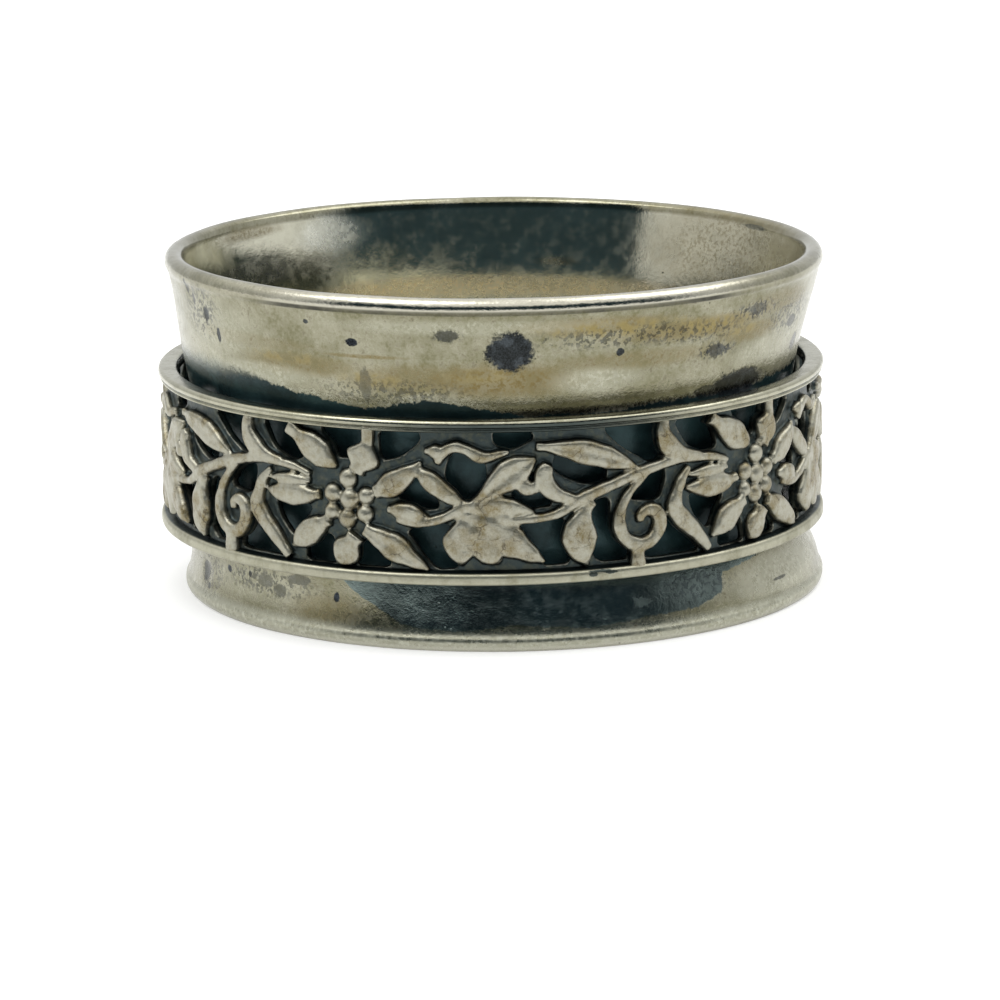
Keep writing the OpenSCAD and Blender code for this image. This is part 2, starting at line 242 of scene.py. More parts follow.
# Dents in the sleeve's outer wall: turn, height, half width in degrees, half height, depth
DENTS = (
    (-68.6, 1.11, 2.6, 0.42, 0.06),
    (-59.9, 9.62, 1.3, 0.3, 0.03),
    (-56.3, 9.04, 1.0, 0.3, 0.02),
    (-65.4, 10.15, 1.8, 0.4, 0.03),
    (3.2, 9.19, 4.5, 0.7, 0.015),
)

# Upper border of the dark zone above the spinner, and lower border of that under it: turn, height. The dark
# zone is oxide with painted shade on the waist and just above the spinner, and a painted dark reflection on
# the lower flange
BRINK = (
    (-180, 7.5), (-90, 7.9), (-48.8, 8.0), (-36.6, 7.65), (-22.2, 7.35), (-11, 7.69), (4.9, 7.2),
    (19.5, 7.16), (31.5, 7.27), (45.9, 7.25), (90, 7.4), (180, 7.5),
)
TOE = (
    (-180, 1.9), (-60, 2.0), (-28.8, 2.05), (-26.6, 1.64), (-18.5, 0.79), (-14.8, 0.65), (-6, 0.61),
    (0.8, 0.81), (9.5, 0.7), (16.5, 0.62), (24, 0.79), (36.1, 0.84), (42, 1.14), (43.5, 1.66), (60, 1.95),
    (180, 1.9),
)

# Nick in the lower rim, in the spots' terms
NICK = ((17.7, 2.46, 2.2, 0.04, 0.9), (16.4, 2.38, 0.8, 0.06, 0.9), (19.4, 2.41, 1.0, 0.05, 0.9))

# Turn of the first flower from the front, and the grid place of the seams between the band's five parts
FIRST_TURN = -24.5
SEAM_X = 129

# How much of itself the front repeat is wider than an even one
FRONT_STRETCH = 0.05

# How far the lower and the upper edge stand to the right of the waist, as the worn ring does
LOW_LEAN = 0.35
TOP_LEAN = 0.14

# What the tables' half widths grow by where the metal was cast fuller: share, and a rim on the grid
LEAF_SHARE = 1.32
LEAF_RIM = 0.5
STEM_RIM = 0.35
BEAD_SHARE = 1.14

# Camera fitted to the ring's edges in the photo: distance in mm, degrees, and lens in sensor widths
CAMERA_FAR = 145.44
CAMERA_TILT = 11.253
CAMERA_ROLL = 0.791
CAMERA_LENS = 4.518
CAMERA_SHIFT = (0.00864, -0.09058)

# Dark card round the camera, in degrees: from and to, left, right, under and over it
CARD = ((-64, -60), (56, 80), (-3, 0), (34, 40))


def clamp(x, low=0.0, high=1.0):
    """x kept between two values."""
    return max(low, min(high, x))


def ease(low, high, x):
    """0 below low, 1 above high, and smooth between them."""
    t = clamp((x - low) / (high - low))
    return t * t * (3 - 2 * t)


def along(table, x):
    """Value at x from a short table of (x, value), straight between its rows."""
    if x <= table[0][0]:
        return table[0][1]
    for (x0, y0), (x1, y1) in zip(table, table[1:]):
        if x <= x1:
            return y0 + (y1 - y0) * (x - x0) / (x1 - x0)
    return table[-1][1]


def grain(x, y, z, scale, seed=0.0):
    """Smooth noise from -1 to 1 at a place in millimetres."""
    return noise.noise(Vector((x * scale + seed, y * scale + seed * 1.7, z * scale - seed * 0.6)))


def shifts(low_x, high_x):
    """Grid shifts of the repeats that can reach between two grid places."""
    first = math.floor(low_x / GRID_W) - 1
    return [GRID_W * n for n in range(first, math.ceil(high_x / GRID_W) + 1)]


def count_prop(name, description, default):
    """Setting for a number of segments."""
    return IntProperty(name=name, description=description, default=default, min=96, max=720)


def size_prop(name, description, default, low=0.0, high=30.0):
    """Setting for a size in millimetres."""
    return FloatProperty(name=name, description=description, default=default, min=low, max=high)


def slope_prop(name, description, degrees):
    """Setting for an angle."""
    return FloatProperty(name=name, description=description, default=math.radians(degrees), subtype="ANGLE")


def colour_prop(name, description, default):
    """Setting for a colour."""
    return FloatVectorProperty(name=name, description=description, default=default, subtype="COLOR")


class SpinnerRingSizes(bpy.types.PropertyGroup):
    """Sizes that shape the dressed pieces, in millimetres."""

    sleeve_steps: count_prop("Sleeve steps", "Segments round the sleeve", 400)
    rim_steps: count_prop("Rim steps", "Segments round each rim of the spinner", 480)
    waist_r: size_prop("Waist radius", "Outer radius of the sleeve behind the spinner", 9.6)
    sheet: size_prop("Sheet", "Thickness of the sleeve's silver sheet", 0.55)
    top_flare: slope_prop("Upper flare", "Slope of the upper flare from upright", 11.4)
    low_flare: slope_prop("Lower flare", "Slope of the lower flare from upright", 13.2)
    waist_low: size_prop("Waist bottom", "Height at which the lower flare starts", 3.02)
    waist_high: size_prop("Waist top", "Height at which the upper flare starts", 6.33)
    lip_r: size_prop("Lip", "Radius of the rounded lip along both edges", 0.32)
    hand_wave: size_prop("Unevenness", "How far the hand-made walls wander", 0.02, 0, 0.05)
    band_in: size_prop("Band inside", "Inner radius of the spinner", 10.05)
    web_r: size_prop("Web radius", "Outer radius of the low sheet between the leaves", 10.32)
    leaf_r: size_prop("Leaf radius", "Radius that the leaves and beads reach", 10.63)
    gap_growth: size_prop("Gap growth", "How far each gap runs under its leaves, on the grid", 0.7)
    cell: size_prop("Cell", "Cell size of the cast band's mesh", 0.05, 0.03, 0.2)


class SpinnerRingFinish(bpy.types.PropertyGroup):
    """Colours and wear of the silver."""

    silver: colour_prop("Silver", "Worn silver where it is clean", (0.325, 0.315, 0.24))
    dull: colour_prop("Dull silver", "Worn silver under its greenish film", (0.165, 0.157, 0.093))
    inner: colour_prop("Inner wall", "Silver kept bright by the finger", (0.78, 0.76, 0.62))
    # Lip colour: wear polish, and a painted highlight where it is strongest at the front
    polished_and_highlit: colour_prop("Polished lip", "Silver that wear has polished", (0.8, 0.77, 0.7))
    leaf: colour_prop("Leaf silver", "Cast silver on the raised leaves", (0.34, 0.33, 0.27))
    brown: colour_prop("Brown film", "Warm tarnish", (0.18, 0.14, 0.06))
    ochre: colour_prop("Ochre", "Yellow flecks on the outer wall", (0.27, 0.22, 0.095))
    tan: colour_prop("Tan", "Warm belt on the inner wall", (0.84, 0.69, 0.43))
    pale: colour_prop("Pale crust", "Whitish film", (0.50, 0.50, 0.41))
    white: colour_prop("White film", "Whitest film, inside", (0.95, 0.95, 0.84))
    slate: colour_prop("Slate", "Blue-grey tarnish", (0.042, 0.054, 0.054))
    # Oxide is also used as painted shade: deeper in the cast band's sheet and crevices, and on the front of
    # the upper rim's second bead
    oxide_and_shade: colour_prop("Oxide", "Blackened silver in the recesses", (0.028, 0.042, 0.044))
    waist: colour_prop("Waist", "Darkest tone of the waist behind the spinner", (0.014, 0.029, 0.031))
    # The flange tone is oxide with a painted dark reflection of the room's dark side
    flange: colour_prop("Flange", "Darkest tone of the blackening under the spinner", (0.094, 0.118, 0.112))
    tar: colour_prop("Tar", "Darkest tone of the spots", (0.008, 0.0095, 0.011))
    gloss: FloatProperty(
        name="Gloss", description="Roughness of clean silver", default=0.17, min=0.05, max=0.8)


# Shapes


def to_metres(bm, name):
    """A finished object in metres from a bmesh in millimetres."""
    bmesh.ops.scale(bm, vec=Vector((MM, MM, MM)), verts=bm.verts)
    mesh = bpy.data.meshes.new(name)
    bm.to_mesh(mesh)
    bm.free()
    piece = bpy.data.objects.new(name, mesh)
    bpy.context.scene.collection.objects.link(piece)
    mesh.polygons.foreach_set("use_smooth", [True] * len(mesh.polygons))
    return piece


def rough_object(bm, name):
    """Object in millimetres, for the modifiers of a piece that isn't finished."""
    mesh = bpy.data.meshes.new(name)
    bm.to_mesh(mesh)
    bm.free()
    made = bpy.data.objects.new(name, mesh)
    bpy.context.scene.collection.objects.link(made)
    return made


def with_modifiers(source):
    """New mesh of an object as its modifiers leave it."""
    graph = bpy.context.evaluated_depsgraph_get()
    return bpy.data.meshes.new_from_object(source.evaluated_get(graph))


def drop(*objects):
    """Removes working objects and their meshes."""
    for made in objects:
        mesh = made.data
        bpy.data.objects.remove(made)
        bpy.data.meshes.remove(mesh)


def arc(middle, radius, start, end, count):
    """Points of an arc, its angles in degrees from outwards, up is positive."""
    steps = [math.radians(start + (end - start) * i / (count - 1)) for i in range(count)]
    return [(middle[0] + radius * math.cos(a), middle[1] + radius * math.sin(a)) for a in steps]


def spun(profile, steps):
    """Closed ring with the outline profile, a row of (radius, height)."""
    bm = bmesh.new()
    verts = [bm.verts.new((0, -r, z)) for r, z in profile]
    edges = [bm.edges.new((verts[i], verts[(i + 1) % len(verts)])) for i in range(len(verts))]
    bmesh.ops.spin(
        bm, geom=verts + edges, cent=(0, 0, 0), axis=(0, 0, 1), angle=math.tau, steps=steps, use_merge=True)
    bmesh.ops.recalc_face_normals(bm, faces=bm.faces)
    return bm


def width_deg(k):
    """Angular width of repeat k, which is widest at the front."""
    return 360 / REPEATS * (1 + FRONT_STRETCH * math.cos(math.tau / REPEATS * k))


def turn_of(x):
    """Turn from the front, in radians, of grid place x, counted on through all the repeats."""
    k, rest = divmod(x, GRID_W)
    lap, k = divmod(int(k), REPEATS)
    start = FIRST_TURN + sum(width_deg(i) for i in range(k))
    return math.radians(360 * lap + start + rest / GRID_W * width_deg(k))


def on_band(x, y, r):
    """Place of grid point x, y at radius r."""
    turn = turn_of(x)
    z = PATTERN_LOW + y / GRID_H * (PATTERN_HIGH - PATTERN_LOW)
    return Vector((r * math.sin(turn), -r * math.cos(turn), z))


def softened(corners, by):
    """Closed outline moved outwards, with its corners cut off."""
    out = []
    area = sum(a[0] * b[1] - b[0] * a[1] for a, b in zip(corners, corners[1:] + corners[:1]))
    side = math.copysign(by, area)
    for i, (x, y) in enumerate(corners):
        (x0, y0), (x1, y1) = corners[i - 1], corners[(i + 1) % len(corners)]
        ax, ay, bx, by_ = x - x0, y - y0, x1 - x, y1 - y
        la, lb = math.hypot(ax, ay), math.hypot(bx, by_)
        nx, ny = ay / la + by_ / lb, -ax / la - bx / lb
        size = max(math.hypot(nx, ny), 0.6)
        out.append((x + side * nx / size, y + side * ny / size))
    corners, out = out, []
    for i, (x, y) in enumerate(corners):
        (x0, y0), (x1, y1) = corners[i - 1], corners[(i + 1) % len(corners)]
        out.append((x + (x0 - x) * 0.18, y + (y0 - y) * 0.18))
        out.append((x + (x1 - x) * 0.18, y + (y1 - y) * 0.18))
    return out


def leaf_line(row):
    """Midline of a leaf: t from 0 to 1 gives x, y, half width."""
    x0, y0, x1, y1, bend, half, belly, start_w = row[:8]
    length = math.hypot(x1 - x0, y1 - y0)
    left = (-(y1 - y0) / length, (x1 - x0) / length)
    power = math.log(0.5) / math.log(belly)

    def at(t):
        bow = bend * 4 * t * (1 - t)
        w = half * max(math.sin(math.pi * clamp(t) ** power), start_w * (1 - t), 0.12)
        x, y = x0 + (x1 - x0) * t + left[0] * bow, y0 + (y1 - y0) * t + left[1] * bow
        return x, y, w * LEAF_SHARE + LEAF_RIM - 0.2 * t ** 4

    return at


def stem_line(points):
    """Smooth midline through a stem's points: t from 0 to 1 gives x, y, half width."""
    n = len(points) - 1

    def at(t):
        s = clamp(t) * n
        i = min(int(s), n - 1)
        u = s - i
        p0, p1, p2, p3 = points[max(i - 1, 0)], points[i], points[i + 1], points[min(i + 2, n)]
        x, y, w = (
            0.5 * (2 * b + (c - a) * u + (2 * a - 5 * b + 4 * c - d) * u * u
                   + (3 * b - a - 3 * c + d) * u ** 3)
            for a, b, c, d in zip(p0, p1, p2, p3))
        return x, y, w + STEM_RIM

    return at


def swell(bm, line, shift, sizes, crease=0.0, rings=16, sides=20):
    """Adds a soft flat-topped body along a midline: a ball stretched along it, as wide as the line says."""
    foot = sizes.web_r - 0.06
    rows = {}
    for v in bmesh.ops.create_uvsphere(bm, u_segments=sides, v_segments=rings, radius=1.0)["verts"]:
        key = round(v.co.z, 4)
        if key not in rows:
            s = 0.5 + math.asin(clamp(v.co.z, -1.0, 1.0)) / math.pi
            t = (1 - math.cos(math.pi * s)) / 2
            x, y, w = line(t)
            xa, ya, _ = line(max(t - 0.02, 0))
            xb, yb, _ = line(min(t + 0.02, 1))
            run = math.hypot(xb - xa, yb - ya) or 1
            swing = 1 + 0.16 * grain(x + shift, y, 0.5, 0.3, 3.1)
            rows[key] = (x, y, w * swing, -(yb - ya) / run, (xb - xa) / run)
        x, y, w, left_x, left_y = rows[key]
        ring = math.hypot(v.co.x, v.co.y)
        side = v.co.x / ring if ring > 1e-4 else 0.0
        rise = v.co.y / ring if ring > 1e-4 else 0.0
        across = math.copysign(abs(side) ** 0.6, side) * w
        full = clamp((w / 2.4) ** 0.35, 0.7, 1.0)
        if rise >= 0:
            r = foot + (sizes.leaf_r - foot) * full * rise ** 0.34
            r -= crease * math.exp(-((side / 0.2) ** 2)) * rise
        else:
            r = foot - (foot - sizes.band_in - 0.03) * abs(rise) ** 0.4
        v.co = on_band(x + shift + left_x * across, y + left_y * across, r)


# Materials


class Wire:
    """A value in a node tree, which takes plus, minus and times."""

    def __init__(self, tree, socket):
        self.tree = tree
        self.socket = socket

    def through(self, operation, other=0.0, third=0.0, clamped=False):
        """This value through a Math node."""
        return wired(self.tree, "ShaderNodeMath", [(0, self), (1, other), (2, third)], operation=operation,
                     use_clamp=clamped)

    def __add__(self, other):
        return self.through("ADD", other)

    def __sub__(self, other):
        return self.through("SUBTRACT", other)

    def __rsub__(self, other):
        return self.through("MULTIPLY_ADD", -1.0, other)

    def __mul__(self, other):
        return self.through("MULTIPLY", other)

    def clamped(self):
        """This value kept between 0 and 1."""
        return self.through("ADD", clamped=True)

    def step(self, low, high, to_low=0.0, to_high=1.0):
        """Smooth step of this value."""
        return wired(
            self.tree, "ShaderNodeMapRange", [(0, self), (1, low), (2, high), (3, to_low), (4, to_high)],
            interpolation_type="SMOOTHSTEP")

    def fall(self, low, high):
        """Smooth step down, from 1 to 0."""
        return self.step(low, high, 1.0, 0.0)

    def vector(self, operation, other=None, third=None, output=0):
        """This place through a Vector Math node."""
        inputs = [(i, v) for i, v in enumerate((self, other, third)) if v is not None]
        return wired(self.tree, "ShaderNodeVectorMath", inputs, output, operation=operation)


def connect(made, inputs):
    """Links or sets inputs of a node, (socket, wire or plain value) pairs."""
    for socket, value in inputs:
        if isinstance(value, Wire):
            value.tree.links.new(value.socket, made.inputs[socket])
        else:
            made.inputs[socket].default_value = value


def node(tree, kind, inputs=(), **settings):
    """New shader node."""
    made = tree.nodes.new(kind)
    for key, value in settings.items():
        setattr(made, key, value)
    connect(made, inputs)
    return made


def wired(tree, kind, inputs=(), output=0, **settings):
    """One output of a new shader node."""
    return Wire(tree, node(tree, kind, inputs, **settings).outputs[output])


def mixed(factor, a, b):
    """Colour between a and b, which are colours or wires."""
    a, b = (value if isinstance(value, Wire) else (*value, 1.0) for value in (a, b))
    return wired(factor.tree, "ShaderNodeMix", [(0, factor), (6, a), (7, b)], 2, data_type="RGBA")


def shaded(colour, by):
    """A colour made lighter or darker."""
    return [c * by for c in colour]


def shared_group(name, inputs, fill):
    """Shader node group, made at its first use. inputs are (name, default), with None for a place."""
    found = bpy.data.node_groups.get(name)
    if found:
        return found
    group = bpy.data.node_groups.new(name, "ShaderNodeTree")
    for label, default in inputs:
        kind = "NodeSocketVector" if default is None else "NodeSocketFloat"
        socket = group.interface.new_socket(label, in_out="INPUT", socket_type=kind)
        if default is not None:
            socket.default_value = default
    into = group.nodes.new("NodeGroupInput")
    results = fill(group, *(Wire(group, into.outputs[label]) for label, _ in inputs))
    for label in results:
        group.interface.new_socket(label, in_out="OUTPUT", socket_type="NodeSocketFloat")
    connect(group.nodes.new("NodeGroupOutput"), results.items())
    return group


def fill_mottle(group, place, scale, detail, low, high):
    """Patchy mask: noise at a scale per millimetre, cut between two levels."""
    speck = wired(group, "ShaderNodeTexNoise", [
        ("Vector", place), ("Scale", scale), ("Detail", detail), ("Roughness", 0.6)])
    return {"Mask": speck.step(low, high), "Height": speck}


def fill_pits(group, place, scale, size, share):
    """Small round pits that wear leaves in silver."""
    cells = wired(group, "ShaderNodeTexVoronoi", [("Vector", place), ("Scale", scale), ("Randomness", 1.0)])
    pick = wired(group, "ShaderNodeTexNoise", [("Vector", place), ("Scale", 0.9), ("Detail", 1.0)])
    return {"Mask": cells.fall(0.0, size) * pick.step(share, share + 0.1)}


def fill_blot(group, spot, middle, reach, rough, edge, strength):
    """Rough-edged oval on the sleeve's wall: as high as its strength inside it, 0 outside."""
    far = spot.vector("SUBTRACT", middle).vector("DIVIDE", reach).vector("LENGTH", output="Value") + rough
    return {"Mask": far.fall(1.0 - edge, edge + 1.0) * strength}


def grouped(tree, group, inputs):
    """Outputs of a shared node group placed in a material."""
    made = tree.nodes.new("ShaderNodeGroup")
    made.node_tree = group
    connect(made, inputs)
    return [Wire(tree, socket) for socket in made.outputs]


def mottle(place, scale, detail=4.0, low=0.4, high=0.6):
    """Mask and height of the shared mottle."""
    group = shared_group("Mottle", [
        ("Place", None), ("Scale", 1.0), ("Detail", 4.0), ("Low", 0.4), ("High", 0.6)], fill_mottle)
    return grouped(place.tree, group, [
        ("Place", place), ("Scale", scale), ("Detail", detail), ("Low", low), ("High", high)])


def blots(rows, spot, rough, edge):
    """Strongest of several ovals, rows of (turn, height, half width, half height, strength)."""
    group = shared_group("Blot", [
        ("Spot", None), ("Middle", None), ("Reach", None), ("Rough", 0.0), ("Edge", 0.2), ("Strength", 1.0)],
        fill_blot)
    mask = None
    for turn, high, wide, tall, strength in rows:
        made, = grouped(spot.tree, group, [
            ("Spot", spot), ("Middle", (turn, high, 0.0)), ("Reach", (wide, tall, 1.0)), ("Rough", rough),
            ("Edge", edge), ("Strength", strength)])
        mask = made if mask is None else mask.through("MAXIMUM", made)
    return mask


def placed(tree):
    """Object coordinates in millimetres."""
    return wired(tree, "ShaderNodeTexCoord", output="Object").vector("MULTIPLY", (1 / MM,) * 3)


def parted(place):
    """The three coordinates of a place."""
    made = node(place.tree, "ShaderNodeSeparateXYZ", [(0, place)])
    return [Wire(place.tree, socket) for socket in made.outputs]


def round_axis(place):
    """Turn from the front in degrees, height and radius of a place."""
    x, y, z = parted(place)
    turn = x.through("ARCTAN2", y * -1.0) * math.degrees(1)
    return turn, z, place.vector("MULTIPLY", (1, 1, 0)).vector("LENGTH", output="Value")


def on_wall(turn, z):
    """Turn and height as one place."""
    return wired(turn.tree, "ShaderNodeCombineXYZ", [(0, turn), (1, z)])


def attribute(tree, name):
    """Value that the mesh carries at each vertex."""
    return wired(tree, "ShaderNodeAttribute", output="Fac", attribute_name=name)


def fresh_material(name):
    """Material with its Principled shader and output."""
    material = bpy.data.materials.new(name)
    material.use_nodes = True
    tree = material.node_tree
    tree.nodes.clear()
    shader = tree.nodes.new("ShaderNodeBsdfPrincipled")
    out = tree.nodes.new("ShaderNodeOutputMaterial")
    tree.links.new(shader.outputs[0], out.inputs[0])
    return material, tree, shader


def bumped(height, strength, depth):
    """Normal of a worn surface, its depth in millimetres."""
    return wired(height.tree, "ShaderNodeBump", [
        ("Strength", strength), ("Distance", depth * MM), ("Height", height)])


def sleeve_silver(finish):
    """Worn sheet silver: mottled, with films, stains, pits and a blackened waist of oxide and painted shade,
    a painted highlight on the front of the lip and painted shade under it.
    """
    material, tree, shader = fresh_material("sleeve_silver")
    place = placed(tree)
    turn, z, _ = round_axis(place)
    spot = on_wall(turn, z)
    behind = on_wall(turn.through("WRAP", 360.0, 0.0), z)
    inside = attribute(tree, "inside")
    outside = 1.0 - inside
    cloud, _ = mottle(place, 0.55, 5.0, 0.38, 0.64)
    fleck, fleck_high = mottle(place, 2.6, 5.0, 0.42, 0.64)
    speck, speck_high = mottle(place, 8.0, 4.0, 0.45, 0.65)
    dust, dust_high = mottle(place, 22.0, 3.0, 0.35, 0.7)
    pits, = grouped(tree, shared_group(
        "Pits", [("Place", None), ("Scale", 1.5), ("Size", 0.1), ("Share", 0.5)], fill_pits), [
        ("Place", place), ("Scale", 1.9), ("Size", 0.09), ("Share", 0.52)])
    rough = fleck_high * 0.9 + speck_high * 0.8 - 0.85
    # Tones from the dull film to clean silver
    level = (dust_high * 0.5 + cloud * 0.5 + fleck * 0.35 - 0.12).clamped()
    level = (level + speck_high * 1.3 - 0.65).clamped()
    base = mixed(level, finish.dull, shaded(finish.silver, 1.08))
    base = mixed(fleck * speck * 0.55, base, shaded(finish.brown, 0.45))
    # The inner wall is kept bright by the finger, and the lip is polished by wear, with a painted highlight
    # on the lip that is strongest at the front
    bright = (cloud * 0.15 + 0.62) * z.fall(RING_H - 0.45, RING_H - 0.3)
    base = mixed(inside * bright, base, finish.inner)
    lip = z.step(RING_H - 0.5, RING_H - 0.38).through("MAXIMUM", z.fall(0.12, 0.2))
    aside = (turn - 2.0).through("ABSOLUTE")
    base = mixed(lip * (aside.fall(24.0, 62.0) * 0.34 + 0.03), base, finish.polished_and_highlit)
    film = None
    for tone, side, rows in PATCHES:
        where, seen = (spot, outside) if side == "out" else (behind, inside)
        mask = blots(rows, where, rough, 0.2 if tone == "slate" else 0.45) * seen
        mask = (mask * (fleck if tone == "ochre" else speck * 0.5 + 0.6)).clamped()
        base = mixed(mask, base, getattr(finish, tone))
        film = mask if film is None else film.through("MAXIMUM", mask)
    # Crust along the upper border of the dark waist, and the dark zone itself: oxide with painted shade on
    # the waist and just above the spinner, and a painted dark reflection on the lower flange
    brink, toe = attribute(tree, "brink"), attribute(tree, "toe")
    ragged = fleck_high * 0.34 + speck_high * 0.22 - 0.28
    over = z + ragged - brink
    crust = over.fall(0.05, 0.3) * over.step(-0.05, 0.0) * (dust * 0.6 + speck * 0.4)
    base = mixed(crust * outside, base, finish.pale)
    blur = turn.step(-62.0, -40.0, 0.4, 0.03)
    dark = over.fall(blur * -1.0, blur) * (ragged * 0.6 + z - toe).step(-0.02, 0.02) * outside
    below = z.fall(2.2, 2.6)
    waist = mixed(cloud, finish.waist, shaded(finish.waist, 2.15))
    flange = mixed(cloud, finish.flange, shaded(finish.flange, 1.8))
    base = mixed(dark, base, mixed(below, waist, flange))
    # Painted shade and dark reflection in the crease under the front of the lip
    crease = z.step(RING_H - 0.58, RING_H - 0.54) * z.fall(RING_H - 0.45, RING_H - 0.4)
    crease = crease * aside.step(36.0, 52.0, 0.9, 0.0) * (cloud * 0.5 + 0.5)
    base = mixed(crease * outside, base, (0.02, 0.02, 0.02))
    # Spots and pits; two of the spots, just above the spinner's top rim, are partly painted shadow
    stains_and_shadow = blots(SPOTS, spot, dust_high * 0.3 + rough * 0.9 - 0.15, 0.14)
    crumb = blots(CRUMBS, spot, rough, 0.5) * mottle(place, 7.0, 3.0, 0.5, 0.56)[0]
    stains_and_shadow = stains_and_shadow.through("MAXIMUM", crumb) * outside
    base = mixed(stains_and_shadow, base, mixed(fleck * 0.55 + dust * 0.45, finish.tar, shaded(finish.tar, 7)))
    base = mixed(pits * 0.85, base, (0.05, 0.045, 0.035))
    gloss = fleck * 0.1 + film * 0.2 + crust * 0.25 - inside * 0.06 - lip * 0.07 + finish.gloss
    height = dust_high * 0.25 + speck_high * 0.5 + fleck_high * 0.8 - pits * 1.5 - stains_and_shadow * 0.6
    connect(shader, [
        ("Base Color", base), ("Roughness", gloss), ("Metallic", 1.0 - dark * (1.0 - below) * 0.75),
        ("Specular IOR Level", 0.15), ("Normal", bumped(height, 0.5 - inside * 0.3, 0.03))])
    return material


def cast_silver(finish, sizes):
    """Cast silver: light on the raised leaves, blackened in the recesses and inside, by oxide and painted
    shade that grow with depth.
    """
    material, tree, shader = fresh_material("cast_silver")
    place = placed(tree)
    _, _, r = round_axis(place)
    web = sizes.web_r
    cloud, _ = mottle(place, 1.2, 5.0, 0.42, 0.68)
    fleck, fleck_high = mottle(place, 5.0, 4.0, 0.45, 0.68)
    dust, dust_high = mottle(place, 18.0, 3.0, 0.35, 0.7)
    film = (fleck * 0.3 + cloud * 0.5).clamped()
    light = mixed((film + cloud * 0.25).clamped(), finish.leaf, finish.brown)
    light = mixed(dust * 0.25, light, finish.pale)
    # The sheet between the leaves, darker with depth as oxide and painted shade, with painted highlights on
    # the edges round its gaps
    low = mixed(r.step(web - 0.06, web - 0.01), finish.oxide_and_shade, finish.slate)
    low = mixed(fleck * 0.22, low, finish.dull)
    # Painted highlight: a leaf-coloured bright line along the edges round the gaps
    edge = r.step(10.12, 10.2) * r.fall(web - 0.022, web - 0.004) * (cloud * 0.6 + 0.25)
    low = mixed(edge, low, finish.leaf)
    # Fine cracks in the cast leaves
    bent = wired(tree, "ShaderNodeTexNoise", [("Vector", place), ("Scale", 1.6), ("Detail", 3.0)], "Color")
    bent = bent.vector("MULTIPLY_ADD", (0.9, 0.9, 0.9), place)
    seams = wired(tree, "ShaderNodeTexVoronoi", [("Vector", bent), ("Scale", 1.3)], "Distance",
                  feature="DISTANCE_TO_EDGE")
    light = mixed(seams.fall(0.0, 0.035) * cloud * 0.8, light, (0.05, 0.04, 0.03))
    # Raised metal is light: wear on the tops, while the flanks and sheet below them take the dark tones of
    # oxide and painted shade
    wear_and_shade_mask = (fleck_high * 0.12 + r - 0.06).step(web + 0.07, web + 0.15)
    connect(shader, [
        ("Base Color", mixed(wear_and_shade_mask, low, light)), ("Roughness", film * 0.12 + (finish.gloss + 0.2)),
        ("Metallic", 1.0), ("Normal", bumped(dust_high * 0.4 + fleck_high, 0.5, 0.03))])
    return material


def rim_silver(finish):
    """Silver of the two plain rims, dark in their groove and at a nick in the lower one, with painted shade
    on the front of the upper rim's second bead.
    """
    material, tree, shader = fresh_material("rim_silver")
    place = placed(tree)
    turn, z, _ = round_axis(place)
    cloud, _ = mottle(place, 1.1, 5.0, 0.42, 0.7)
    fleck, fleck_high = mottle(place, 4.0, 4.0, 0.45, 0.75)
    dust, dust_high = mottle(place, 16.0, 3.0, 0.35, 0.7)
    film = (fleck * 0.3 + cloud * 0.5).clamped()
    light = mixed(film, shaded(finish.silver, 1.15), finish.dull)
    light = mixed(dust * 0.3, light, finish.pale)
    nick = blots(NICK, on_wall(turn, z), fleck_high * 2.0 - 1.0, 0.2)
    base = mixed(attribute(tree, "oxide_and_shade").through("MAXIMUM", nick), light, finish.oxide_and_shade)
    gloss = film * 0.15 + z.step(3.5, 4.5, 0.2, 0.0) + finish.gloss
    connect(shader, [
        ("Base Color", base), ("Roughness", gloss), ("Metallic", 1.0),
        ("Normal", bumped(dust_high * 0.3 + fleck_high, 0.4, 0.02))])
    return material


def carry(mesh, name, values):
    """Stores one value a vertex on a mesh."""
    made = mesh.attributes.new(name, "FLOAT", "POINT")
    made.data.foreach_set("value", values)


# Operators


